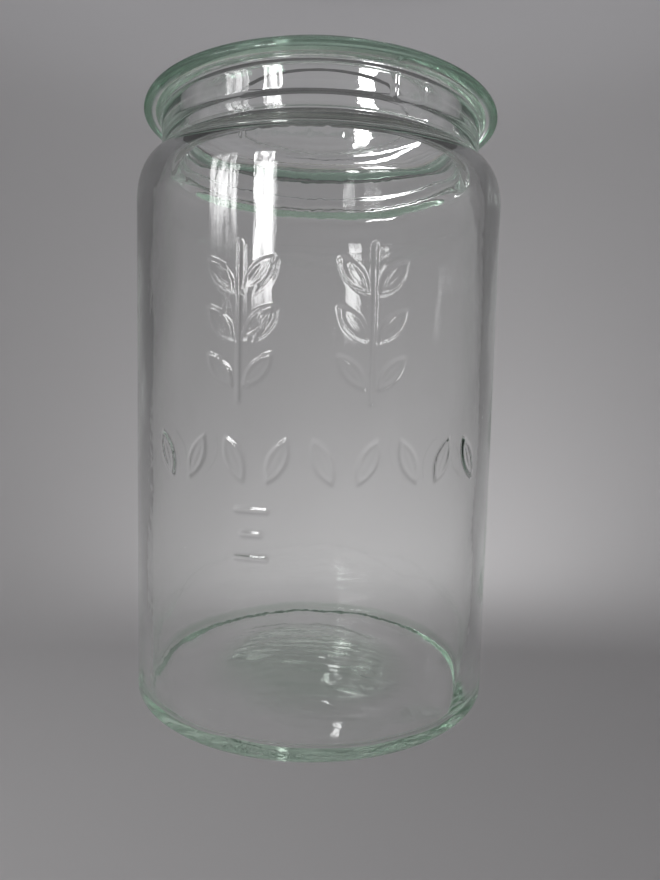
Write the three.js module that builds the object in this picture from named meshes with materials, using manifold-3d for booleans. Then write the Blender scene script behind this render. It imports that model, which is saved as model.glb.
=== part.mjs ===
// A lidded preserving jar: a one-piece jar of pressed glass with a wide sealing flange,
// a flat rubber ring that lies on the flange, and a glass lid that lies on the ring.
// Millimetres, +Z up. The origin is on the jar's axis, at the level it stands on.
// Azimuth 0 is the front of the jar (-Y) and grows towards +X.
import * as THREE from 'three';
import { mergeVertices } from 'three/addons/utils/BufferGeometryUtils.js';
import Module from 'manifold-3d';

const wasm = await Module();
wasm.setup();

// Jar body
const BODY_RADIUS = 51;
const WALL = 3.5;
const HEEL_RADIUS = 1.6;
const FOOT_INNER_RADIUS = 40;
const PUSH_UP = 3.5;
const FLOOR_THICKNESS = 2;
const FLOOR_FILLET = 2.5;
const FLOOR_RISE = 4.7;

// Shoulder: a quarter of a superellipse from the body's side to the foot of the neck
const SHOULDER_START = 135.4;
const SHOULDER_RISE = 12.6;
const SHOULDER_EXPONENT = 2.2;
const INNER_SHOULDER_START = 133.6;
const INNER_SHOULDER_RISE = 11.5;
const INNER_NECK_ROUNDING = 2.5;

// Neck, with the step that its two-part mould leaves
const NECK_FOOT_RADIUS = 43.5;
const NECK_STEP_HEIGHT = 152.2;
const NECK_STEP = 0.25;
const NECK_STEP_RADIUS = 44.1;
const NECK_TOP_RADIUS = 44.6;
const MOUTH_RADIUS = 40.2;

// Sealing flange
const FLANGE_RADIUS = 49.1;
const FLANGE_TOP = 162.4;
const LIP_THICKNESS = 2.8;
const LIP_TOP_ROUNDING = 2.3;
const LIP_LOWER_ROUNDING = 0.5;
const FLANGE_FILLET = 2.2;
const MOUTH_ROUNDING = 1;

// Rubber ring
const RING_INNER_RADIUS = 40.8;
const RING_OUTER_RADIUS = 44.2;
const RING_THICKNESS = 0.8;
const RING_CHAMFER = 0.2;
const SEAT_GAP = 0.1;

// Lid
const LID_RADIUS = 43.2;
const BRIM_THICKNESS = 1.6;
const BRIM_TOP_ROUNDING = 1;
const BRIM_LOWER_ROUNDING = 0.5;
const HOLLOW_RADIUS = 39.2;
const HOLLOW_FLAT_RADIUS = 30;
const HOLLOW_RISE = 1.4;
const BRIM_SLOPE = 0.3;
const DOME_FOOT_RADIUS = 38;
const DOME_RADIUS = 29;
const DOME_RISE = 2.4;
const PANEL_RADIUS = 25.5;
const PANEL_EDGE = 1.5;
const PANEL_DROP = 0.4;

// Raised decoration on the front of the body
const RELIEF_HEIGHT = 0.45;
const RELIEF_ROOT = 1.2;
const SPRIG_AZIMUTHS = [-20, 14];
const SPRIG_HEIGHT = 101;
const SPRIG_STEM_LENGTH = 36;
const SPRIG_STEM_WIDTH = 1.4;
const SPRIG_LEAF_PAIRS = 3;
const SPRIG_LEAF_PITCH = 10.5;
const SPRIG_LEAF_LENGTH = 11;
const SPRIG_LEAF_WIDTH = 4.6;
const SPRIG_LEAF_OFFSET = 4.6;
const SPRIG_LEAF_TILT = 42;
const GARLAND_COUNT = 9;
const GARLAND_MIDDLE_AZIMUTH = 2;
const GARLAND_STEP = 11.5;
const GARLAND_HEIGHT = 70.5;
const GARLAND_LEAF_LENGTH = 12;
const GARLAND_LEAF_WIDTH = 5;
const GARLAND_TILT = 24;
const LEVEL_MARK_AZIMUTH = -16;
const LEVEL_MARK_HEIGHTS = [48, 53.5, 59];
const LEVEL_MARK_LENGTHS = [9, 6, 9];
const LEVEL_MARK_WIDTH = 1.4;

// Facets
const JAR_SEGMENTS = 48;
const RING_SEGMENTS = 48;
const LID_SEGMENTS = 48;
const ARC_STEPS = 3;
const CURVE_STEPS = 6;

const radians = THREE.MathUtils.degToRad;

function point(radius, height) {
  return new THREE.Vector2(radius, height);
}

// Points of an arc of a profile, from one angle to another in degrees
function arc(radius, height, rounding, from, to, steps = ARC_STEPS) {
  const points = [];
  for (let i = 0; i <= steps; i += 1) {
    const angle = radians(from + ((to - from) * i) / steps);
    points.push(point(radius + rounding * Math.cos(angle), height + rounding * Math.sin(angle)));
  }
  return points;
}

// A shallow dome from a rise on the axis down to nothing at a radius
function dome(outerRadius, baseHeight, rise, steps = CURVE_STEPS - 2) {
  const points = [];
  for (let i = 0; i <= steps; i += 1) {
    const share = i / steps;
    points.push(point(outerRadius * share, baseHeight + rise * (0.5 + 0.5 * Math.cos(Math.PI * share))));
  }
  return points;
}

// An S-shaped slope between two points of a profile, level at both ends
function slope(fromRadius, fromHeight, toRadius, toHeight, steps = CURVE_STEPS - 2) {
  const points = [];
  for (let i = 0; i <= steps; i += 1) {
    const share = i / steps;
    const climb = 0.5 - 0.5 * Math.cos(Math.PI * share);
    points.push(point(
      fromRadius + (toRadius - fromRadius) * share,
      fromHeight + (toHeight - fromHeight) * climb,
    ));
  }
  return points;
}

// A quarter superellipse from the side of the body up and in to a smaller radius
function shoulder(sideRadius, topRadius, startHeight, rise, steps = CURVE_STEPS + 2) {
  const reach = sideRadius - topRadius;
  const power = 2 / SHOULDER_EXPONENT;
  const points = [];
  for (let i = 0; i <= steps; i += 1) {
    const angle = (Math.PI / 2) * (i / steps);
    const inward = Math.max(Math.cos(angle), 0) ** power;
    points.push(point(topRadius + reach * inward, startHeight + rise * Math.sin(angle) ** power));
  }
  return points;
}

// A body of revolution about Z from a profile of (radius, height) points
function turned(profile, segments) {
  const geometry = new THREE.LatheGeometry(profile, segments);
  geometry.rotateX(Math.PI / 2);
  return geometry;
}

function toSolid(geometry) {
  const bare = geometry.clone();
  bare.deleteAttribute('normal');
  bare.deleteAttribute('uv');
  const merged = mergeVertices(bare, 1e-4);
  return new wasm.Manifold(new wasm.Mesh({
    numProp: 3,
    vertProperties: new Float32Array(merged.attributes.position.array),
    triVerts: new Uint32Array(merged.index.array),
  }));
}

function toGeometry(solid) {
  const mesh = solid.getMesh();
  const geometry = new THREE.BufferGeometry();
  geometry.setAttribute('position', new THREE.BufferAttribute(new Float32Array(mesh.vertProperties), 3));
  geometry.setIndex(new THREE.BufferAttribute(new Uint32Array(mesh.triVerts), 1));
  geometry.computeVertexNormals();
  return geometry;
}

function glassMaterial(colour) {
  return new THREE.MeshStandardMaterial({
    color: colour, roughness: 0.04, metalness: 0, transparent: true, opacity: 0.35,
  });
}

function rubberMaterial() {
  return new THREE.MeshStandardMaterial({ color: 0xc9c8c2, roughness: 0.55, metalness: 0 });
}

function jarOutside() {
  const underLip = FLANGE_TOP - LIP_THICKNESS;
  const lipEdge = FLANGE_TOP - LIP_TOP_ROUNDING;
  return [
    ...dome(FOOT_INNER_RADIUS, 0, PUSH_UP),
    ...arc(BODY_RADIUS - HEEL_RADIUS, HEEL_RADIUS, HEEL_RADIUS, -90, 0),
    ...shoulder(BODY_RADIUS, NECK_FOOT_RADIUS, SHOULDER_START, SHOULDER_RISE),
    point(NECK_STEP_RADIUS, NECK_STEP_HEIGHT),
    point(NECK_STEP_RADIUS + NECK_STEP, NECK_STEP_HEIGHT + NECK_STEP),
    ...arc(NECK_TOP_RADIUS + FLANGE_FILLET, underLip - FLANGE_FILLET, FLANGE_FILLET, 180, 90),
    ...arc(FLANGE_RADIUS - LIP_LOWER_ROUNDING, underLip + LIP_LOWER_ROUNDING, LIP_LOWER_ROUNDING, -90, -20, 2),
    ...arc(FLANGE_RADIUS - LIP_TOP_ROUNDING, lipEdge, LIP_TOP_ROUNDING, 0, 90, 4),
  ];
}

function jarInside() {
  const innerRadius = BODY_RADIUS - WALL;
  const innerTop = INNER_SHOULDER_START + INNER_SHOULDER_RISE;
  const neckRounding = INNER_NECK_ROUNDING;
  const floorEdge = innerRadius - FLOOR_FILLET;
  return [
    ...arc(MOUTH_RADIUS + MOUTH_ROUNDING, FLANGE_TOP - MOUTH_ROUNDING, MOUTH_ROUNDING, 90, 180),
    ...arc(MOUTH_RADIUS + neckRounding, innerTop + neckRounding, neckRounding, 180, 255),
    ...shoulder(innerRadius, MOUTH_RADIUS + neckRounding, INNER_SHOULDER_START, INNER_SHOULDER_RISE).reverse(),
    ...arc(floorEdge, FLOOR_THICKNESS + FLOOR_FILLET, FLOOR_FILLET, 0, -90, 4),
    ...dome(floorEdge, FLOOR_THICKNESS, FLOOR_RISE).reverse().slice(1),
  ];
}

// Places a flat shape's extrusion on the body's side: its X runs round the body, its Y up
// and its Z outwards, turned by a tilt in degrees
function onBody(shape, azimuth, height, tilt = 0) {
  const geometry = new THREE.ExtrudeGeometry(shape, {
    depth: RELIEF_HEIGHT + RELIEF_ROOT, bevelEnabled: false, curveSegments: 4,
  });
  const angle = radians(azimuth);
  const outward = new THREE.Vector3(Math.sin(angle), -Math.cos(angle), 0);
  const round = new THREE.Vector3(Math.cos(angle), Math.sin(angle), 0);
  const place = new THREE.Matrix4().makeBasis(round, new THREE.Vector3(0, 0, 1), outward);
  const root = outward.clone().multiplyScalar(BODY_RADIUS - RELIEF_ROOT);
  place.setPosition(root.x, root.y, height);
  place.multiply(new THREE.Matrix4().makeRotationZ(radians(tilt)));
  geometry.applyMatrix4(place);
  return toSolid(geometry);
}

function leafShape(length, width) {
  const shape = new THREE.Shape();
  shape.moveTo(0, -length / 2);
  shape.quadraticCurveTo(width, 0, 0, length / 2);
  shape.quadraticCurveTo(-width, 0, 0, -length / 2);
  return shape;
}

function barShape(width, height) {
  const shape = new THREE.Shape();
  shape.moveTo(-width / 2, -height / 2);
  shape.lineTo(width / 2, -height / 2);
  shape.lineTo(width / 2, height / 2);
  shape.lineTo(-width / 2, height / 2);
  return shape;
}

// A stem with pairs of leaves that lean up and out
function sprig(azimuth) {
  const pieces = [onBody(barShape(SPRIG_STEM_WIDTH, SPRIG_STEM_LENGTH), azimuth, SPRIG_HEIGHT)];
  const leaf = leafShape(SPRIG_LEAF_LENGTH, SPRIG_LEAF_WIDTH);
  const across = THREE.MathUtils.radToDeg(SPRIG_LEAF_OFFSET / BODY_RADIUS);
  for (let pair = 0; pair < SPRIG_LEAF_PAIRS; pair += 1) {
    const height = SPRIG_HEIGHT + (pair - (SPRIG_LEAF_PAIRS - 1) / 2) * SPRIG_LEAF_PITCH;
    for (const side of [-1, 1]) {
      pieces.push(onBody(leaf, azimuth + side * across, height, -side * SPRIG_LEAF_TILT));
    }
  }
  return pieces;
}

// A band of leaves that lean left and right in turn
function garland() {
  const leaf = leafShape(GARLAND_LEAF_LENGTH, GARLAND_LEAF_WIDTH);
  const pieces = [];
  for (let i = 0; i < GARLAND_COUNT; i += 1) {
    const azimuth = GARLAND_MIDDLE_AZIMUTH + (i - (GARLAND_COUNT - 1) / 2) * GARLAND_STEP;
    const tilt = i % 2 === 0 ? GARLAND_TILT : -GARLAND_TILT;
    pieces.push(onBody(leaf, azimuth, GARLAND_HEIGHT, tilt));
  }
  return pieces;
}

function levelMarks() {
  return LEVEL_MARK_HEIGHTS.map((height, i) => (
    onBody(barShape(LEVEL_MARK_LENGTHS[i], LEVEL_MARK_WIDTH), LEVEL_MARK_AZIMUTH, height)
  ));
}

function glassJar() {
  let solid = toSolid(turned([...jarOutside(), ...jarInside()], JAR_SEGMENTS));
  const relief = [...SPRIG_AZIMUTHS.flatMap(sprig), ...garland(), ...levelMarks()];
  for (const piece of relief) {
    solid = solid.add(piece);
  }
  return new THREE.Mesh(toGeometry(solid), glassMaterial(0xdfe8e0));
}

function sealRing() {
  const low = FLANGE_TOP + SEAT_GAP;
  const high = low + RING_THICKNESS;
  const profile = [
    point(RING_INNER_RADIUS + RING_CHAMFER, low),
    point(RING_OUTER_RADIUS - RING_CHAMFER, low),
    point(RING_OUTER_RADIUS, low + RING_CHAMFER),
    point(RING_OUTER_RADIUS, high - RING_CHAMFER),
    point(RING_OUTER_RADIUS - RING_CHAMFER, high),
    point(RING_INNER_RADIUS + RING_CHAMFER, high),
    point(RING_INNER_RADIUS, high - RING_CHAMFER),
    point(RING_INNER_RADIUS, low + RING_CHAMFER),
    point(RING_INNER_RADIUS + RING_CHAMFER, low),
  ];
  return new THREE.Mesh(turned(profile, RING_SEGMENTS), rubberMaterial());
}

function glassLid() {
  const seat = FLANGE_TOP + RING_THICKNESS + 2 * SEAT_GAP;
  const brimTop = seat + BRIM_THICKNESS;
  const domeFoot = brimTop + BRIM_SLOPE;
  const domeTop = brimTop + DOME_RISE;
  const profile = [
    point(0, seat + HOLLOW_RISE),
    ...slope(HOLLOW_FLAT_RADIUS, seat + HOLLOW_RISE, HOLLOW_RADIUS, seat),
    ...arc(LID_RADIUS - BRIM_LOWER_ROUNDING, seat + BRIM_LOWER_ROUNDING, BRIM_LOWER_ROUNDING, -90, 0, 2),
    ...arc(LID_RADIUS - BRIM_TOP_ROUNDING, brimTop - BRIM_TOP_ROUNDING, BRIM_TOP_ROUNDING, 0, 90),
    ...slope(DOME_FOOT_RADIUS, domeFoot, DOME_RADIUS, domeTop),
    point(PANEL_RADIUS, domeTop),
    point(PANEL_RADIUS - PANEL_EDGE, domeTop - PANEL_DROP),
    point(0, domeTop - PANEL_DROP),
  ];
  return new THREE.Mesh(turned(profile, LID_SEGMENTS), glassMaterial(0xe2eae3));
}

const canister = new THREE.Group();
for (const [name, mesh] of Object.entries({
  glass_jar: glassJar(),
  seal_ring: sealRing(),
  glass_lid: glassLid(),
})) {
  mesh.name = name;
  canister.add(mesh);
}

export default canister;
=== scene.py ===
import math

import bpy
import numpy as np
from mathutils import Matrix, Vector


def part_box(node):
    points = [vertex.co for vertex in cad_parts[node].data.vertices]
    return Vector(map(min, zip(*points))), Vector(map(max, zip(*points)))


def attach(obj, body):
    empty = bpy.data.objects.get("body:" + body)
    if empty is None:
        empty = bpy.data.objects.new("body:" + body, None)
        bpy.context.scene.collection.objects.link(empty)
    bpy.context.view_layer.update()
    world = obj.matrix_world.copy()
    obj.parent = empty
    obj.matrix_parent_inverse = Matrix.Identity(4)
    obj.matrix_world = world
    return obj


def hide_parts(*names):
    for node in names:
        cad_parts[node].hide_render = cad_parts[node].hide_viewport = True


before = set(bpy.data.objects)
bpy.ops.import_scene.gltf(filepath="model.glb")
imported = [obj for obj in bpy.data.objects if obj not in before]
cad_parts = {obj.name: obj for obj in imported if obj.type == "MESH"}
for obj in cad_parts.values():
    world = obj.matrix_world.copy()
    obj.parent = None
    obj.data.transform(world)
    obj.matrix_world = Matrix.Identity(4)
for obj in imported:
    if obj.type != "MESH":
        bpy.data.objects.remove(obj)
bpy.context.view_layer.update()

MM = 0.001
SAME_PLACE = 1e-6
JAR_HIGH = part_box("glass_jar")[1]
RING_LOW, RING_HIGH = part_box("seal_ring")
LID_LOW, LID_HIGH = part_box("glass_lid")

# Driving sizes of the jar, in metres, as in the CAD model
BODY_RADIUS = JAR_HIGH.x
FLANGE_TOP = JAR_HIGH.z
WALL = 3.5 * MM
HEEL_RADIUS = 1.6 * MM
FOOT_INNER_RADIUS = 40 * MM
PUSH_UP = 3.5 * MM
FLOOR_THICKNESS = 2 * MM
FLOOR_FILLET = 2.5 * MM
FLOOR_RISE = 4.7 * MM
SHOULDER_START = 135.4 * MM
SHOULDER_RISE = 12.6 * MM
SHOULDER_EXPONENT = 2.2
INNER_SHOULDER_START = 133.6 * MM
INNER_SHOULDER_RISE = 11.5 * MM
INNER_NECK_ROUNDING = 2.5 * MM
NECK_FOOT_RADIUS = 43.5 * MM
NECK_STEP_HEIGHT = 152.2 * MM
NECK_STEP = 0.25 * MM
NECK_STEP_RADIUS = 44.1 * MM
NECK_TOP_RADIUS = 44.6 * MM
MOUTH_RADIUS = 40.2 * MM
FLANGE_RADIUS = 49.1 * MM
LIP_THICKNESS = 2.8 * MM
LIP_TOP_ROUNDING = 2.3 * MM
LIP_LOWER_ROUNDING = 0.5 * MM
FLANGE_FILLET = 2.2 * MM
MOUTH_ROUNDING = 1 * MM
# Where two of the roundings stop, short of a quarter turn
LIP_LOWER_END = -8
INNER_NECK_END = 262

# Driving sizes of the ring and the lid, as in the CAD model
RING_INNER_RADIUS = 40.8 * MM
RING_ROUNDING = 0.25 * MM
BRIM_THICKNESS = 1.6 * MM
BRIM_TOP_ROUNDING = 1 * MM
BRIM_LOWER_ROUNDING = 0.5 * MM
BRIM_SLOPE = 0.3 * MM
HOLLOW_RADIUS = 39.2 * MM
HOLLOW_FLAT_RADIUS = 30 * MM
HOLLOW_RISE = 1.4 * MM
DOME_FOOT_RADIUS = 38 * MM
DOME_RADIUS = 29 * MM
PANEL_RADIUS = 24 * MM
PANEL_EDGE = 1.5 * MM
PANEL_DROP = 0.4 * MM

# Raised decoration on the front, as in the CAD model
RELIEF_HEIGHT = 0.45 * MM
SPRIG_AZIMUTHS = (-20, 14)
SPRIG_HEIGHT = 101 * MM
SPRIG_STEM_LENGTH = 36 * MM
SPRIG_LEAF_PAIRS = 3
SPRIG_LEAF_PITCH = 10.5 * MM
SPRIG_LEAF = (11 * MM, 4.6 * MM)
SPRIG_LEAF_OFFSET = 4.6 * MM
SPRIG_LEAF_TILT = 42
GARLAND_COUNT = 9
GARLAND_MIDDLE_AZIMUTH = 2
GARLAND_STEP = 11.5
GARLAND_HEIGHT = 70.5 * MM
GARLAND_LEAF = (12 * MM, 5 * MM)
GARLAND_TILT = 24
LEVEL_MARK_AZIMUTH = -16
# Each mark's height and length
LEVEL_MARKS = ((48 * MM, 9 * MM), (53.5 * MM, 6 * MM), (59 * MM, 9 * MM))
LINE_HALF_WIDTH = 0.75 * MM
# A leaf's face and midrib, as shares of its outline's height and width
LEAF_FACE = 0.45
LEAF_FACE_SLOPE = 1.2
LEAF_RIB = 0.8
LEAF_RIB_WIDTH = 0.7
# The decorated stretch of the side, and the finest columns and rows of the mesh
RELIEF_LOW = 44 * MM
RELIEF_HIGH = 122 * MM
RELIEF_ROWS = 156
FRONT_AZIMUTHS = (-56, 58)
FINE_STEP = 0.5
SEAM_COLUMNS_HALF_ANGLE = 3
RIGHT_COLUMNS = 56
LEFT_COLUMNS = 44

# Traces of the mould: seams on the neck, a bead at its foot, and specks
SEAM_AZIMUTH = 21.5
SECOND_SEAM_AZIMUTH = 10.5
SEAM_HEIGHT = 0.25 * MM
SEAM_HALF_WIDTH = 0.9 * MM
SEAM_FADE = 0.3 * MM
SEAM_MARGIN = 0.02 * MM
SECOND_SEAM_SHARE = 0.4
BEAD_HEIGHT = 149 * MM
BEAD_HALF_HEIGHT = 0.8 * MM
BEAD_BULGE = 0.35 * MM
SPECK_COUNT = 7
SPECK_AZIMUTH = -20
SPECK_STEP = 4.3
SPECK_LEVEL = 141.5 * MM
SPECK_WANDER = 0.7 * MM
SPECK_RADIUS = 0.7 * MM
SPECK_HEIGHT = 0.12 * MM

# Unevenness of the walls: each wave's share, waves round the jar, climb and phase
WAVES = ((0.40, 2, 1.9, 0.4), (0.25, 5, -3.1, 2.1), (0.20, 9, 4.7, 5.0), (0.15, 14, -8.3, 1.2))
INNER_WAVES = 0.16 * MM
OUTER_WAVES = 0.05 * MM
OUTER_WAVES_TURN = 40
OUTER_WAVES_STRETCH = 1.3
# Where the waves come in: a distance from the flange's top or a height, and a length
WAVES_BELOW_FLANGE = (14 * MM, 10 * MM)
WAVES_ABOVE_FLOOR = (14 * MM, 20 * MM)
# The corner between floor and wall: where its waves start and over what length they come in
EDGE_WAVES = 0.7 * MM
EDGE_WAVES_TURN = 75
EDGE_RADII = (34 * MM, 9 * MM)
EDGE_HEIGHTS = (26 * MM, 18 * MM)
# The middle of the floor: a pool with lobes (share, number, phase) and ripples
# (share, waves outwards, waves round, phase), and lines that bend across it
SWIRL_RADIUS = 27 * MM
SWIRL_HEIGHT = 1.3 * MM
SWIRL_TOP = 9 * MM
SWIRL_EDGE_POWER = 6
SWIRL_LOBES = ((0.16, 2, 0.6), (0.10, 3, 2.0), (0.05, 7, 0))
SWIRL_RIPPLES = ((0.25, 9, 2, 0), (0.2, 17, -3, 1))
MARK_PLACE = (15.5 * MM, -12 * MM)
MARK_RADIUS = 2.6 * MM
MARK_HALF_WIDTH = 0.9 * MM
MARK_HEIGHT = 0.12 * MM
FLOOR_RIPPLE = 0.045 * MM
FLOOR_RIPPLE_LENGTH = 3.6 * MM
FLOOR_RIPPLE_BEND = 2
FLOOR_RIPPLE_BEND_LENGTH = 9 * MM

# Glass: nearly clear through a wall, green where a thick edge is looked into
GLASS_IOR = 1.52
GLASS_TINT = (0.20, 0.86, 0.42)
GLASS_DENSITY = 2
RIM_TINT = (0.2, 0.36, 0.26)
HEEL_TINT = (0.78, 0.87, 0.80)
FLOOR_TINT = (0.84, 0.93, 0.86)
LID_TINT = (0.92, 0.97, 0.93)
# Each band's tint, and the radii and the heights between which it comes in
JAR_BANDS = (
    (RIM_TINT, (FLANGE_RADIUS - 2.7 * MM, FLANGE_RADIUS - 1.8 * MM), (158 * MM, 159 * MM)),
    (FLOOR_TINT, (34 * MM, 18 * MM), (14 * MM, 11 * MM)),
    (HEEL_TINT, (BODY_RADIUS - 4 * MM, BODY_RADIUS - 3 * MM), (5 * MM, 3.5 * MM)),
)
LID_BANDS = ((LID_TINT, (42 * MM, 43.5 * MM), (160 * MM, 161 * MM)),)
# Two finenesses of unevenness too small for the mesh: scale, detail and depth
GLASS_BUMPS = ((70, 1, 0.04 * MM), (330, 2, 0.015 * MM))

# Rubber: two near tones of pale grey in soft clouds, and a fine grain
RUBBER_PALE = (0.53, 0.53, 0.505)
RUBBER_DARK = (0.44, 0.44, 0.42)
RUBBER_CLOUD_SCALE = 160
RUBBER_CLOUD_DETAIL = 3
RUBBER_CLOUD_RANGE = (0.35, 0.65)
RUBBER_ROUGHNESS = 0.5
RUBBER_GRAIN_SCALE = 900
RUBBER_GRAIN_DETAIL = 2
RUBBER_GRAIN_STRENGTH = 0.2
RUBBER_GRAIN_DEPTH = 0.1 * MM

# Camera, in body radii and degrees: close to the jar, a little under its middle height
CAMERA_DISTANCE = 3.798 * BODY_RADIUS
CAMERA_HEIGHT = 1.729 * BODY_RADIUS
CAMERA_PITCH = -5.05
CAMERA_YAW = 1.33
CAMERA_ROLL = 1.31
CAMERA_LENS = 26.53
SENSOR_WIDTH = 36
CLIP_START = 0.005

# Studio: a pale bowl that is flat under the jar, and soft light from all round
FLOOR_COLOUR = (0.575, 0.565, 0.57)
FLOOR_ROUGHNESS = 0.75
WORLD_COLOUR = (0.80, 0.81, 0.84)
WORLD_STRENGTH = 1.1
BOWL_FLAT_RADIUS = 0.14
BOWL_WALL_RADIUS = 0.42
BOWL_RISE = 0.30
BOWL_TOP = 0.75
BOWL_ROWS = 33
BOWL_COLUMNS = 128
FLOOR_DROP = 0.0002
CLOTH_COLOUR = (0.12, 0.12, 0.12)
# Dark flags at both sides, that only the glass sees: they draw its edges
FLAG_RADIUS = 0.15
FLAG_HEIGHT = 0.55
FLAG_NEAR = 76
FLAG_FAR = 154
FLAG_STEP = 2
FLAG_STRENGTH = 0.5
FLAG_ROUGHNESS = 0.9
FLAG_FADE = 0.13
FLAG_REAR_SOFTNESS = 0.28
FLAG_FRONT_SOFTNESS = 0.2
# A dark canopy over the jar: it dulls the flange and the floor
CANOPY_RADIUS = 0.33
CANOPY_HEIGHT = 0.40
CANOPY_STRENGTH = 0.95
CANOPY_ROUGHNESS = 0.5
CANOPY_STEP = 5
# Light runs a long way inside thick glass before it comes out
LIGHT_BOUNCES = 96
TRANSPARENT_BOUNCES = 32
# Two window panes at the front left
PANE_DISTANCE = 0.30
PANE_HIGH = 0.264
PANE_FADE = 0.05
PANE_TOP_FADE = 0.02
# Each pane's first and last azimuth, lower edge and brightness
PANES = ((-61, -45, 0.160, 9), (-35, -24, 0.120, 24))
# The curtain folds: cycles per metre along each axis, and how the noise becomes strength
PATTERN_SCALE = (90, 90, 24)
PATTERN_DETAIL = 3
PATTERN_RANGE = (0.38, 0.62)
PATTERN_STRENGTHS = (0.16, 1.6)
# A light behind the jar that brightens the bowl there, and isn't seen itself
GLOW_PLACE = (0.03, 0.10, 0.15)
GLOW_SIZE = (0.16, 0.15)
GLOW_RADIANCE = 3
GLOW_TILT = 60
# A small light high behind the jar, whose reflection stands on the middle of the floor
STRIP_PLACE = (0.042, 0.33, 0.325)
STRIP_SIZE = (0.016, 0.10)
STRIP_RADIANCE = 7
STRIP_LOW = 0.285
STRIP_HIGH = 0.362
STRIP_TILT = -45


def arc(radius, height, rounding, start, end, steps=8):
    """A rounding about a centre at this radius and height. Angles in degrees, 0 is outwards."""
    angles = np.radians(np.linspace(start, end, steps + 1))
    return list(zip(radius + rounding * np.cos(angles), height + rounding * np.sin(angles)))


def dome(outer, base, rise, steps=24):
    """An S-shaped climb from the outer radius to a rise on the axis, from the axis outwards."""
    share = np.linspace(0, 1, steps + 1)
    return list(zip(outer * share, base + rise * (0.5 + 0.5 * np.cos(np.pi * share))))


def shoulder(side, top, start, rise, steps=24):
    """A squarish quarter turn from the side's radius in to the top's."""
    angles = np.linspace(0, np.pi / 2, steps + 1)
    power = 2 / SHOULDER_EXPONENT
    inward = np.maximum(np.cos(angles), 0) ** power
    return list(zip(top + (side - top) * inward, start + rise * np.sin(angles) ** power))


def straight(start, end, steps):
    """Points on the way from start to end, without start itself."""
    share = np.linspace(0, 1, steps + 1)[1:]
    run, climb = end[0] - start[0], end[1] - start[1]
    return [(start[0] + run * s, start[1] + climb * s) for s in share]


def jar_outside():
    """The profile from the middle of the underside, up the outside, to the flange's top."""
    under_lip = FLANGE_TOP - LIP_THICKNESS
    heel_top = (BODY_RADIUS, HEEL_RADIUS)
    relief_low = (BODY_RADIUS, RELIEF_LOW)
    relief_high = (BODY_RADIUS, RELIEF_HIGH)
    step_low = (NECK_STEP_RADIUS, NECK_STEP_HEIGHT)
    step_high = (NECK_STEP_RADIUS + NECK_STEP, NECK_STEP_HEIGHT + NECK_STEP)
    bead = neck_bead((NECK_FOOT_RADIUS, SHOULDER_START + SHOULDER_RISE), step_low)
    fillet = arc(NECK_TOP_RADIUS + FLANGE_FILLET, under_lip - FLANGE_FILLET, FLANGE_FILLET, 180, 90)
    lip_lower = LIP_LOWER_ROUNDING
    lip_top = LIP_TOP_ROUNDING
    return [
        *dome(FOOT_INNER_RADIUS, 0, PUSH_UP),
        *arc(BODY_RADIUS - HEEL_RADIUS, HEEL_RADIUS, HEEL_RADIUS, -90, 0),
        *straight(heel_top, relief_low, steps=8),
        *straight(relief_low, relief_high, steps=RELIEF_ROWS),
        *straight(relief_high, (BODY_RADIUS, SHOULDER_START), steps=4)[:-1],
        *shoulder(BODY_RADIUS, NECK_FOOT_RADIUS, SHOULDER_START, SHOULDER_RISE),
        *bead,
        *straight(bead[-1], step_low, steps=3),
        *straight(step_low, step_high, steps=2),
        *straight(step_high, fillet[0], steps=5)[:-1],
        *fillet,
        *arc(FLANGE_RADIUS - lip_lower, under_lip + lip_lower, lip_lower, -90, LIP_LOWER_END),
        *arc(FLANGE_RADIUS - lip_top, FLANGE_TOP - lip_top, lip_top, 0, 90, steps=14),
    ]


def neck_bead(neck_foot, step_low, steps=8):
    """A small rounded bead on the neck's wall, just above its foot."""
    lean = (step_low[0] - neck_foot[0]) / (step_low[1] - neck_foot[1])
    points = []
    for share in np.linspace(-1, 1, steps + 1):
        height = BEAD_HEIGHT + BEAD_HALF_HEIGHT * share
        bulge = BEAD_BULGE * (0.5 + 0.5 * math.cos(math.pi * share))
        points.append((neck_foot[0] + lean * (height - neck_foot[1]) + bulge, height))
    return points


def jar_inside():
    """The profile from the flange's top down the inside to the middle of the floor."""
    inner = BODY_RADIUS - WALL
    top = INNER_SHOULDER_START + INNER_SHOULDER_RISE
    turn = INNER_NECK_ROUNDING
    floor_radius = inner - FLOOR_FILLET
    wall_foot = (inner, FLOOR_THICKNESS + FLOOR_FILLET)
    mouth = arc(MOUTH_RADIUS + MOUTH_ROUNDING, FLANGE_TOP - MOUTH_ROUNDING, MOUTH_ROUNDING, 90, 180)
    neck = arc(MOUTH_RADIUS + turn, top + turn, turn, 180, INNER_NECK_END)
    return [
        *mouth,
        *straight(mouth[-1], neck[0], steps=8)[:-1],
        *neck,
        *shoulder(inner, MOUTH_RADIUS + turn, INNER_SHOULDER_START, INNER_SHOULDER_RISE)[::-1],
        *straight((inner, INNER_SHOULDER_START), wall_foot, steps=34)[:-1],
        *arc(floor_radius, FLOOR_THICKNESS + FLOOR_FILLET, FLOOR_FILLET, 0, -90, steps=12),
        *dome(floor_radius, FLOOR_THICKNESS, FLOOR_RISE, steps=60)[::-1][1:],
    ]


def ridge(distance, half_width):
    """1 on a line, falling smoothly to 0 at the half width on both sides."""
    return np.maximum(0, 1 - (distance / half_width) ** 2) ** 1.5


def local(azimuths, heights, azimuth, height, tilt):
    """Distances round the body and up it from a motif's middle, turned back by its tilt."""
    across = np.radians(azimuths - azimuth) * BODY_RADIUS
    up = heights - height
    c, s = math.cos(math.radians(tilt)), math.sin(math.radians(tilt))
    return across * c + up * s, -across * s + up * c


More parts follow.
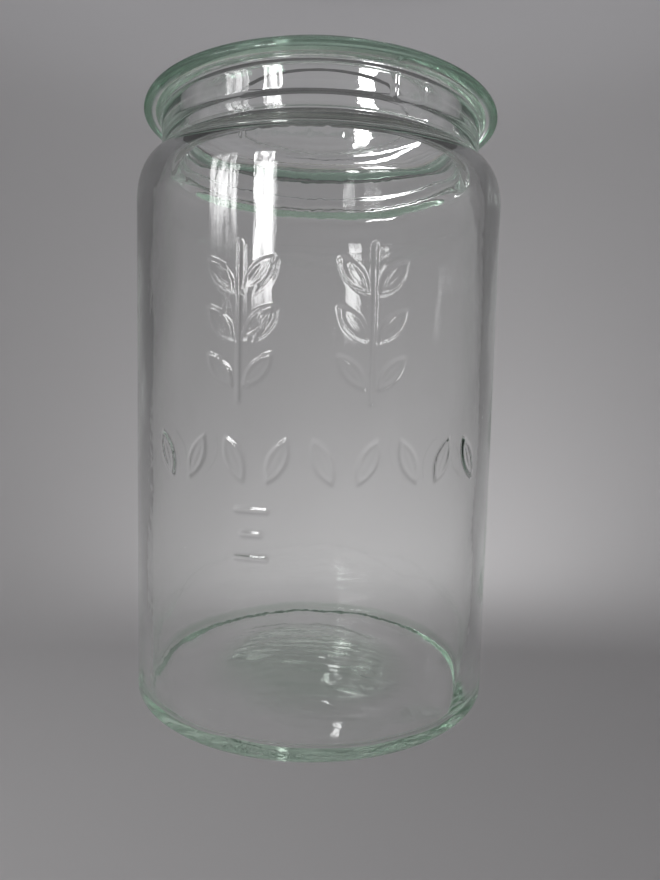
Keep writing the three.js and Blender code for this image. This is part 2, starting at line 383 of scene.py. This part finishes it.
def leaf_relief(azimuths, heights, azimuth, height, size, tilt):
    """A leaf with a raised outline and midrib, and a lower face between them."""
    u, v = local(azimuths, heights, azimuth, height, tilt)
    length, width = size
    inside = (width / 2) * (1 - (2 * v / length) ** 2) - np.abs(u)
    outline = ridge(inside - LINE_HALF_WIDTH, LINE_HALF_WIDTH)
    face = LEAF_FACE * np.clip(inside / (LEAF_FACE_SLOPE * LINE_HALF_WIDTH), 0, 1)
    rib = LEAF_RIB * ridge(u, LEAF_RIB_WIDTH * LINE_HALF_WIDTH)
    rib = rib * np.clip(inside / LINE_HALF_WIDTH, 0, 1)
    return np.maximum(np.maximum(outline, face), rib)


def bar_relief(azimuths, heights, azimuth, height, length, tilt):
    """A round-ended bar that stands up when its tilt is 0."""
    u, v = local(azimuths, heights, azimuth, height, tilt)
    past_end = np.maximum(np.abs(v) - (length / 2 - LINE_HALF_WIDTH), 0)
    return ridge(np.hypot(u, past_end), LINE_HALF_WIDTH)


def relief(azimuths, heights):
    """The raised decoration's height: two sprigs, a garland of leaves and three level marks."""
    raised = np.zeros(np.broadcast(azimuths, heights).shape)
    across = math.degrees(SPRIG_LEAF_OFFSET / BODY_RADIUS)
    for azimuth in SPRIG_AZIMUTHS:
        stem = bar_relief(azimuths, heights, azimuth, SPRIG_HEIGHT, SPRIG_STEM_LENGTH, tilt=0)
        raised = np.maximum(raised, stem)
        for pair in range(SPRIG_LEAF_PAIRS):
            height = SPRIG_HEIGHT + (pair - (SPRIG_LEAF_PAIRS - 1) / 2) * SPRIG_LEAF_PITCH
            for side in (-1, 1):
                place = azimuth + side * across
                tilt = -side * SPRIG_LEAF_TILT
                leaf = leaf_relief(azimuths, heights, place, height, SPRIG_LEAF, tilt)
                raised = np.maximum(raised, leaf)
    for i in range(GARLAND_COUNT):
        azimuth = GARLAND_MIDDLE_AZIMUTH + (i - (GARLAND_COUNT - 1) / 2) * GARLAND_STEP
        tilt = GARLAND_TILT if i % 2 == 0 else -GARLAND_TILT
        leaf = leaf_relief(azimuths, heights, azimuth, GARLAND_HEIGHT, GARLAND_LEAF, tilt)
        raised = np.maximum(raised, leaf)
    for height, length in LEVEL_MARKS:
        mark = bar_relief(azimuths, heights, LEVEL_MARK_AZIMUTH, height, length, tilt=90)
        raised = np.maximum(raised, mark)
    return raised * RELIEF_HEIGHT


def waves(azimuths, heights, amplitude):
    """The slow unevenness of a pressed wall."""
    a = np.radians(azimuths)
    z = heights / BODY_RADIUS
    return amplitude * sum(
        share * np.sin(count * a + climb * z + phase) for share, count, climb, phase in WAVES
    )


def mesh_object(name, vertices, faces, smooth=False):
    mesh = bpy.data.meshes.new(name)
    mesh.from_pydata(vertices, [], faces)
    mesh.update()
    mesh.polygons.foreach_set("use_smooth", [smooth] * len(mesh.polygons))
    obj = bpy.data.objects.new(name, mesh)
    bpy.context.scene.collection.objects.link(obj)
    return obj


def lathe(name, profile, azimuths, offset=None):
    """A closed mesh of revolution. offset gives each ring's move along its own normal."""
    profile = np.array(profile)
    keep = [0]
    for i in range(1, len(profile)):
        if np.hypot(*(profile[i] - profile[keep[-1]])) > SAME_PLACE:
            keep.append(i)
    profile = profile[keep]
    poles = profile[0, 0] < SAME_PLACE and profile[-1, 0] < SAME_PLACE
    before = np.roll(profile, 1, axis=0)
    after = np.roll(profile, -1, axis=0)
    if poles:
        before[0] = profile[0] - (MM, 0)
        after[-1] = profile[-1] - (MM, 0)
    along = after - before
    along /= np.linalg.norm(along, axis=1)[:, None]
    normals = np.stack([along[:, 1], -along[:, 0]], axis=1)
    a = np.radians(azimuths)[None, :]
    radii = np.repeat(profile[:, :1], len(azimuths), axis=1)
    heights = np.repeat(profile[:, 1:], len(azimuths), axis=1)
    if offset is not None:
        moved = offset(np.asarray(azimuths)[None, :], profile, normals)
        radii = radii + moved * normals[:, :1]
        heights = heights + moved * normals[:, 1:]
    rings = np.stack([radii * np.sin(a), -radii * np.cos(a), heights], axis=2)
    columns = len(azimuths)
    rows = len(profile)
    index = np.arange(rows * columns).reshape(rows, columns)
    vertices = rings.reshape(-1, 3)
    if poles:
        index = index[1:-1] - columns + 1
        vertices = np.concatenate([rings[0, :1], rings[1:-1].reshape(-1, 3), rings[-1, :1]])
    low, high = index[:-1], index[1:]
    if not poles:
        low, high = index, np.roll(index, -1, axis=0)
    quads = np.stack([low, np.roll(low, -1, 1), np.roll(high, -1, 1), high], axis=2).reshape(-1, 4)
    faces = quads.tolist()
    if poles:
        last = len(vertices) - 1
        first_ring, last_ring = index[0].tolist(), index[-1].tolist()
        for j in range(columns):
            k = (j + 1) % columns
            faces.append([0, first_ring[k], first_ring[j]])
            faces.append([last, last_ring[j], last_ring[k]])
    return mesh_object(name, vertices.tolist(), faces, smooth=True)


def jar_azimuths():
    """Fine columns over the decorated front and the back seam, coarse ones between them."""
    first, last = FRONT_AZIMUTHS
    back = SEAM_AZIMUTH + 180
    half = SEAM_COLUMNS_HALF_ANGLE
    front = np.arange(first, last + FINE_STEP / 2, FINE_STEP)
    seam = np.arange(back - half, back + half + FINE_STEP / 2, FINE_STEP)
    right = np.linspace(last, seam[0], RIGHT_COLUMNS)[1:-1]
    left = np.linspace(seam[-1], first + 360, LEFT_COLUMNS)[1:-1]
    return np.concatenate([front, right, seam, left])


def come_in(distance, length):
    """0 up to a distance of 0, then a straight climb to 1 over a length."""
    return np.clip(distance / length, 0, 1)


def jar_offset(azimuths, profile, normals):
    """How far each point of the jar's mesh moves outwards for relief, waves, seams and specks."""
    radii, heights = profile[:, :1], profile[:, 1:]
    wrapped = np.where(azimuths > 180, azimuths - 360, azimuths)
    on_side = radii > BODY_RADIUS - SAME_PLACE
    on_side = on_side & (heights > RELIEF_LOW - MM) & (heights < RELIEF_HIGH + MM)
    raised = np.where(on_side, relief(wrapped, heights), 0)
    first_inner = len(profile) - len(jar_inside()) + 2
    inner = (np.arange(len(profile)) > first_inner)[:, None]
    neck_distance, neck_length = WAVES_BELOW_FLANGE
    floor_distance, floor_length = WAVES_ABOVE_FLOOR
    on_wall = come_in(FLANGE_TOP - neck_distance - heights, neck_length)
    on_wall = on_wall * come_in(heights - floor_distance, floor_length)
    inner_wall = waves(azimuths, heights, INNER_WAVES) * on_wall
    turned = azimuths + OUTER_WAVES_TURN
    outer_wall = waves(turned, OUTER_WAVES_STRETCH * heights, OUTER_WAVES) * on_wall
    outer_wall = outer_wall + neck_seams(wrapped, radii, heights) + specks(wrapped, radii, heights)
    floor = floor_swirl(azimuths, radii, heights) + floor_edge(azimuths, radii, heights)
    return raised + np.where(inner, inner_wall + floor, outer_wall)


def neck_seams(azimuths, radii, heights):
    """The parting lines of the neck mould, up the neck and out under the flange."""
    band = come_in(heights - NECK_STEP_HEIGHT - NECK_STEP, SEAM_FADE)
    band = band * (heights < FLANGE_TOP - LIP_THICKNESS + SEAM_MARGIN)
    seams = (
        (0, SEAM_HEIGHT),
        (SECOND_SEAM_AZIMUTH, SECOND_SEAM_SHARE * SEAM_HEIGHT),
        (180, SEAM_HEIGHT),
    )
    total = 0
    for azimuth, height in seams:
        turn = (azimuths - SEAM_AZIMUTH - azimuth + 180) % 360 - 180
        total = total + height * ridge(np.radians(turn) * radii, SEAM_HALF_WIDTH)
    return total * band


def specks(azimuths, radii, heights):
    """Grains of scale from the mould, in a row round the front of the shoulder."""
    total = 0
    for i in range(SPECK_COUNT):
        azimuth = SPECK_AZIMUTH + i * SPECK_STEP
        height = SPECK_LEVEL + SPECK_WANDER * math.sin(3 * i)
        across = np.radians(azimuths - azimuth) * radii
        total = total + SPECK_HEIGHT * ridge(np.hypot(across, heights - height), SPECK_RADIUS)
    return total * (radii > NECK_STEP_RADIUS)


def floor_swirl(azimuths, radii, heights):
    """The uneven middle of the floor, where the gather of glass first touched the mould."""
    a = np.radians(azimuths)
    share = radii / SWIRL_RADIUS
    edge = 1 + sum(height * np.sin(count * a + phase) for height, count, phase in SWIRL_LOBES)
    pool = np.exp(-((share / edge) ** SWIRL_EDGE_POWER))
    ripple = sum(
        height * np.sin(outward * share + count * a + phase)
        for height, outward, count, phase in SWIRL_RIPPLES
    )
    across, along = radii * np.sin(a), -radii * np.cos(a)
    bend = FLOOR_RIPPLE_BEND * np.sin(across / FLOOR_RIPPLE_BEND_LENGTH)
    lines = FLOOR_RIPPLE * np.sin(2 * np.pi * along / FLOOR_RIPPLE_LENGTH + bend)
    swirl = pool * (SWIRL_HEIGHT * (1 + ripple * np.clip(share, 0, 1)) + lines)
    from_mark = np.hypot(across - MARK_PLACE[0], along - MARK_PLACE[1]) - MARK_RADIUS
    mark = MARK_HEIGHT * ridge(from_mark, MARK_HALF_WIDTH)
    return np.where(heights < SWIRL_TOP, swirl + mark, 0)


def floor_edge(azimuths, radii, heights):
    """The unevenness of the corner between the floor and the wall."""
    near_wall = come_in(radii - EDGE_RADII[0], EDGE_RADII[1])
    low = come_in(EDGE_HEIGHTS[0] - heights, EDGE_HEIGHTS[1])
    return waves(azimuths + EDGE_WAVES_TURN, 0, EDGE_WAVES) * near_wall * low


def new_material(name):
    material = bpy.data.materials.new(name)
    material.use_nodes = True
    return material, material.node_tree.nodes, material.node_tree.links


def ramp(nodes, links, value, low, high):
    """A smooth step from 0 at low to 1 at high."""
    step = nodes.new("ShaderNodeMapRange")
    step.interpolation_type = "SMOOTHSTEP"
    step.inputs["From Min"].default_value = low
    step.inputs["From Max"].default_value = high
    links.new(value, step.inputs["Value"])
    return step.outputs["Result"]


def multiply(nodes, links, first, second):
    product = nodes.new("ShaderNodeMath")
    product.operation = "MULTIPLY"
    links.new(first, product.inputs[0])
    links.new(second, product.inputs[1])
    return product.outputs["Value"]


def axis_value(nodes, links, place, axis):
    parts = nodes.new("ShaderNodeSeparateXYZ")
    links.new(place, parts.inputs["Vector"])
    return parts.outputs[axis]


def level_part(nodes, links, place):
    """A place with its height set to 0."""
    flat = nodes.new("ShaderNodeVectorMath")
    flat.operation = "MULTIPLY"
    flat.inputs[1].default_value = (1, 1, 0)
    links.new(place, flat.inputs[0])
    return flat.outputs["Vector"]


def noise(nodes, links, place, scale, detail):
    texture = nodes.new("ShaderNodeTexNoise")
    texture.inputs["Scale"].default_value = scale
    texture.inputs["Detail"].default_value = detail
    links.new(place, texture.inputs["Vector"])
    return texture.outputs["Fac"]


def bump(nodes, links, height, depth, strength=1):
    node = nodes.new("ShaderNodeBump")
    node.inputs["Strength"].default_value = strength
    node.inputs["Distance"].default_value = depth
    links.new(height, node.inputs["Height"])
    return node


def mixed(nodes, links, mask, first, second):
    """The first colour where the mask is 0, and the second where it is 1."""
    mix = nodes.new("ShaderNodeMix")
    mix.data_type = "RGBA"
    mix.inputs["A"].default_value = (*first, 1)
    mix.inputs["B"].default_value = (*second, 1)
    links.new(mask, mix.inputs["Factor"])
    return mix


def band_colour(nodes, links, place, bands):
    """White, tinted in each band of radii and heights. A later band covers an earlier one."""
    radius = nodes.new("ShaderNodeVectorMath")
    radius.operation = "LENGTH"
    links.new(level_part(nodes, links, place), radius.inputs[0])
    height = axis_value(nodes, links, place, "Z")
    colour = None
    for tint, radii, heights in bands:
        across = ramp(nodes, links, radius.outputs["Value"], *radii)
        up = ramp(nodes, links, height, *heights)
        mix = mixed(nodes, links, multiply(nodes, links, across, up), (1, 1, 1), tint)
        if colour is not None:
            links.new(colour, mix.inputs["A"])
        colour = mix.outputs["Result"]
    return colour


def glass_material(name, bands):
    """Clear pressed glass, a little wavy, and green where a thick edge is looked into."""
    material, nodes, links = new_material(name)
    shader = nodes["Principled BSDF"]
    shader.inputs["IOR"].default_value = GLASS_IOR
    shader.inputs["Transmission Weight"].default_value = 1
    shader.inputs["Roughness"].default_value = 0
    place = nodes.new("ShaderNodeTexCoord").outputs["Object"]
    links.new(band_colour(nodes, links, place, bands), shader.inputs["Base Color"])
    normal = None
    for scale, detail, depth in GLASS_BUMPS:
        wavy = bump(nodes, links, noise(nodes, links, place, scale, detail), depth)
        if normal is not None:
            links.new(normal, wavy.inputs["Normal"])
        normal = wavy.outputs["Normal"]
    links.new(normal, shader.inputs["Normal"])
    absorb = nodes.new("ShaderNodeVolumeAbsorption")
    absorb.inputs["Color"].default_value = (*GLASS_TINT, 1)
    absorb.inputs["Density"].default_value = GLASS_DENSITY
    links.new(absorb.outputs["Volume"], nodes["Material Output"].inputs["Volume"])
    return material


def rubber_material():
    """Matt moulded rubber, a little cloudy in colour and finely grained."""
    material, nodes, links = new_material("ring_rubber")
    shader = nodes["Principled BSDF"]
    shader.inputs["Roughness"].default_value = RUBBER_ROUGHNESS
    place = nodes.new("ShaderNodeTexCoord").outputs["Object"]
    clouds = noise(nodes, links, place, RUBBER_CLOUD_SCALE, RUBBER_CLOUD_DETAIL)
    share = ramp(nodes, links, clouds, *RUBBER_CLOUD_RANGE)
    colour = mixed(nodes, links, share, RUBBER_DARK, RUBBER_PALE)
    links.new(colour.outputs["Result"], shader.inputs["Base Color"])
    grain = noise(nodes, links, place, RUBBER_GRAIN_SCALE, RUBBER_GRAIN_DETAIL)
    grained = bump(nodes, links, grain, RUBBER_GRAIN_DEPTH, RUBBER_GRAIN_STRENGTH)
    links.new(grained.outputs["Normal"], shader.inputs["Normal"])
    return material


def floor_material():
    material = new_material("pale_floor")[0]
    shader = material.node_tree.nodes["Principled BSDF"]
    shader.inputs["Base Color"].default_value = (*FLOOR_COLOUR, 1)
    shader.inputs["Roughness"].default_value = FLOOR_ROUGHNESS
    return material


def cloth_material(name, roughness):
    """Dark cloth, and the input that says how much of it is there."""
    material, nodes, links = new_material(name)
    cloth = nodes["Principled BSDF"]
    cloth.inputs["Base Color"].default_value = (*CLOTH_COLOUR, 1)
    cloth.inputs["Roughness"].default_value = roughness
    clear = nodes.new("ShaderNodeBsdfTransparent")
    mix = nodes.new("ShaderNodeMixShader")
    links.new(clear.outputs["BSDF"], mix.inputs[1])
    links.new(cloth.outputs["BSDF"], mix.inputs[2])
    links.new(mix.outputs["Shader"], nodes["Material Output"].inputs["Surface"])
    return material, mix.inputs["Fac"]


def flag_material():
    """Dark cloth that comes in softly from the flags' ends and from the floor up."""
    material, amount = cloth_material("dark_flag", FLAG_ROUGHNESS)
    nodes, links = material.node_tree.nodes, material.node_tree.links
    place = nodes.new("ShaderNodeNewGeometry").outputs["Position"]
    direction = nodes.new("ShaderNodeVectorMath")
    direction.operation = "NORMALIZE"
    links.new(level_part(nodes, links, place), direction.inputs[0])
    backwards = axis_value(nodes, links, direction.outputs["Vector"], "Y")
    far_end = -math.cos(math.radians(FLAG_FAR))
    near_end = -math.cos(math.radians(FLAG_NEAR))
    rear = ramp(nodes, links, backwards, far_end, far_end - FLAG_REAR_SOFTNESS)
    front = ramp(nodes, links, backwards, near_end, near_end + FLAG_FRONT_SOFTNESS)
    upper = ramp(nodes, links, axis_value(nodes, links, place, "Z"), 0, FLAG_FADE)
    share = multiply(nodes, links, multiply(nodes, links, rear, front), upper)
    strength = nodes.new("ShaderNodeMath")
    strength.operation = "MULTIPLY"
    strength.inputs[1].default_value = FLAG_STRENGTH
    links.new(share, strength.inputs[0])
    links.new(strength.outputs["Value"], amount)
    return material


def make_camera():
    data = bpy.data.cameras.new("camera")
    data.sensor_width = SENSOR_WIDTH
    data.lens = CAMERA_LENS
    data.clip_start = CLIP_START
    camera = bpy.data.objects.new("camera", data)
    bpy.context.scene.collection.objects.link(camera)
    turn = (
        Matrix.Rotation(math.radians(-CAMERA_YAW), 4, "Z")
        @ Matrix.Rotation(math.radians(90 + CAMERA_PITCH), 4, "X")
        @ Matrix.Rotation(math.radians(CAMERA_ROLL), 4, "Z")
    )
    camera.matrix_world = Matrix.Translation((0, -CAMERA_DISTANCE, CAMERA_HEIGHT)) @ turn
    bpy.context.scene.camera = camera


def round_place(radius, angle, height):
    """The place at a radius, at an angle that starts at the front and grows towards +X."""
    return radius * math.sin(angle), -radius * math.cos(angle), height


def make_studio():
    climb = BOWL_WALL_RADIUS - BOWL_FLAT_RADIUS
    curve = [
        (BOWL_FLAT_RADIUS + climb * math.sin(t), -FLOOR_DROP + BOWL_RISE * (1 - math.cos(t)))
        for t in np.linspace(0, math.pi / 2, BOWL_ROWS)
    ]
    profile = [*curve, (BOWL_WALL_RADIUS, BOWL_TOP)]
    count = BOWL_COLUMNS
    vertices = [(0, 0, -FLOOR_DROP)]
    for radius, height in profile:
        for j in range(count):
            vertices.append(round_place(radius, 2 * math.pi * j / count, height))
    faces = [(0, 1 + j, 1 + (j + 1) % count) for j in range(count)]
    for i in range(len(profile) - 1):
        low, high = 1 + i * count, 1 + (i + 1) * count
        for j in range(count):
            k = (j + 1) % count
            faces.append((low + j, high + j, high + k, low + k))
    floor = mesh_object("studio_floor", vertices, faces, smooth=True)
    floor.data.materials.append(floor_material())


def make_flags():
    material = flag_material()
    for side in (-1, 1):
        vertices, faces = [], []
        for azimuth in range(FLAG_NEAR, FLAG_FAR + 1, FLAG_STEP):
            for height in (0, FLAG_HEIGHT):
                vertices.append(round_place(FLAG_RADIUS, math.radians(side * azimuth), height))
        for i in range(0, len(vertices) - 2, 2):
            faces.append((i, i + 1, i + 3, i + 2))
        flag = mesh_object("flag_left" if side < 0 else "flag_right", vertices, faces)
        flag.data.materials.append(material)
        flag.visible_camera = False
        flag.visible_diffuse = False
        flag.visible_shadow = False


def make_canopy():
    material, amount = cloth_material("dark_canopy", CANOPY_ROUGHNESS)
    amount.default_value = CANOPY_STRENGTH
    corners = [math.radians(a) for a in range(0, 360, CANOPY_STEP)]
    vertices = [round_place(CANOPY_RADIUS, a, CANOPY_HEIGHT) for a in corners]
    canopy = mesh_object("canopy", vertices, [tuple(range(len(vertices)))])
    canopy.data.materials.append(material)
    canopy.visible_camera = False


def window_pattern(data, low, high):
    """Curtain folds across a pane of light, which fades out towards its lower and upper edges."""
    data.use_nodes = True
    nodes, links = data.node_tree.nodes, data.node_tree.links
    place = nodes.new("ShaderNodeNewGeometry").outputs["Position"]
    stretch = nodes.new("ShaderNodeMapping")
    stretch.inputs["Scale"].default_value = PATTERN_SCALE
    links.new(place, stretch.inputs["Vector"])
    folds = noise(nodes, links, stretch.outputs["Vector"], 1, PATTERN_DETAIL)
    contrast = nodes.new("ShaderNodeMapRange")
    contrast.inputs["From Min"].default_value = PATTERN_RANGE[0]
    contrast.inputs["From Max"].default_value = PATTERN_RANGE[1]
    contrast.inputs["To Min"].default_value = PATTERN_STRENGTHS[0]
    contrast.inputs["To Max"].default_value = PATTERN_STRENGTHS[1]
    links.new(folds, contrast.inputs["Value"])
    height = axis_value(nodes, links, place, "Z")
    lower = ramp(nodes, links, height, low, low + PANE_FADE)
    upper = ramp(nodes, links, height, high, high - PANE_TOP_FADE)
    share = multiply(nodes, links, lower, upper)
    total = multiply(nodes, links, contrast.outputs["Result"], share)
    links.new(total, nodes["Emission"].inputs["Strength"])


def area_light(name, place, size, radiance, rotation):
    data = bpy.data.lights.new(name, "AREA")
    data.shape = "RECTANGLE"
    data.size, data.size_y = size
    data.energy = radiance * math.pi * data.size * data.size_y
    light = bpy.data.objects.new(name, data)
    light.location = place
    light.rotation_euler = rotation
    light.visible_camera = False
    bpy.context.scene.collection.objects.link(light)
    return light


def make_light():
    world = bpy.data.worlds.new("studio")
    world.use_nodes = True
    background = world.node_tree.nodes["Background"]
    background.inputs["Color"].default_value = (*WORLD_COLOUR, 1)
    background.inputs["Strength"].default_value = WORLD_STRENGTH
    bpy.context.scene.world = world
    for i, (start, end, low, radiance) in enumerate(PANES):
        middle = math.radians((start + end) / 2)
        width = 2 * PANE_DISTANCE * math.tan(math.radians((end - start) / 2))
        place = Vector(round_place(PANE_DISTANCE, middle, (PANE_HIGH + low) / 2))
        facing = Vector((-place.x, -place.y, 0)).to_track_quat("-Z", "Y").to_euler()
        size = (width, PANE_HIGH - low)
        pane = area_light(f"window_pane_{i}", place, size, radiance, facing)
        window_pattern(pane.data, low, PANE_HIGH)


def make_back_lights():
    tilt = (math.radians(GLOW_TILT), 0, 0)
    glow = area_light("backdrop_glow", GLOW_PLACE, GLOW_SIZE, GLOW_RADIANCE, tilt)
    glow.visible_glossy = False
    glow.visible_transmission = False
    tilt = (math.radians(STRIP_TILT), 0, 0)
    strip = area_light("floor_strip", STRIP_PLACE, STRIP_SIZE, STRIP_RADIANCE, tilt)
    window_pattern(strip.data, STRIP_LOW, STRIP_HIGH)


def clear_for_floor(piece):
    """Lets light reach the floor under the glass as it does beside it."""
    piece.visible_shadow = False
    piece.visible_diffuse = False


def make_jar():
    jar = lathe("jar", [*jar_outside(), *jar_inside()], jar_azimuths(), jar_offset)
    jar.data.materials.append(glass_material("jar_glass", JAR_BANDS))
    clear_for_floor(jar)
    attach(jar, "jar")
    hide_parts("glass_jar")


def make_ring():
    low, high = RING_LOW.z, RING_HIGH.z
    outer = RING_HIGH.x
    inner = RING_INNER_RADIUS
    edge = RING_ROUNDING
    profile = [
        *arc(outer - edge, low + edge, edge, -90, 0),
        *arc(outer - edge, high - edge, edge, 0, 90),
        *arc(inner + edge, high - edge, edge, 90, 180),
        *arc(inner + edge, low + edge, edge, 180, 270),
    ]
    ring = lathe("rubber_ring", profile, np.arange(0, 360, 2))
    ring.data.materials.append(rubber_material())
    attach(ring, "seal_ring")
    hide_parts("seal_ring")


def slope(start, end, steps=14):
    """An S-shaped slope between two points of a profile, level at both ends."""
    share = np.linspace(0, 1, steps + 1)
    climb = 0.5 - 0.5 * np.cos(np.pi * share)
    return list(zip(start[0] + (end[0] - start[0]) * share, start[1] + (end[1] - start[1]) * climb))


def make_lid():
    seat, top = LID_LOW.z, LID_HIGH.z
    radius = LID_HIGH.x
    brim_top = seat + BRIM_THICKNESS
    hollow_top = seat + HOLLOW_RISE
    panel = top - PANEL_DROP
    profile = [
        (0, hollow_top),
        *straight((0, hollow_top), (HOLLOW_FLAT_RADIUS, hollow_top), steps=4)[:-1],
        *slope((HOLLOW_FLAT_RADIUS, hollow_top), (HOLLOW_RADIUS, seat)),
        *arc(radius - BRIM_LOWER_ROUNDING, seat + BRIM_LOWER_ROUNDING, BRIM_LOWER_ROUNDING, -90, 0),
        *arc(radius - BRIM_TOP_ROUNDING, brim_top - BRIM_TOP_ROUNDING, BRIM_TOP_ROUNDING, 0, 90),
        *slope((DOME_FOOT_RADIUS, brim_top + BRIM_SLOPE), (DOME_RADIUS, top)),
        *slope((PANEL_RADIUS + PANEL_EDGE, top), (PANEL_RADIUS, panel)),
        *straight((PANEL_RADIUS, panel), (0, panel), steps=4),
    ]
    lid = lathe("lid", profile, np.arange(0, 360, 1.5))
    lid.data.materials.append(glass_material("lid_glass", LID_BANDS))
    clear_for_floor(lid)
    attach(lid, "lid")
    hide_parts("glass_lid")


def make_settings():
    scene = bpy.context.scene
    scene.view_settings.view_transform = "Standard"
    scene.cycles.max_bounces = LIGHT_BOUNCES
    scene.cycles.transmission_bounces = LIGHT_BOUNCES
    scene.cycles.glossy_bounces = LIGHT_BOUNCES
    scene.cycles.transparent_max_bounces = TRANSPARENT_BOUNCES


make_camera()
make_studio()
make_light()
make_back_lights()
make_flags()
make_canopy()
make_jar()
make_ring()
make_lid()
make_settings()
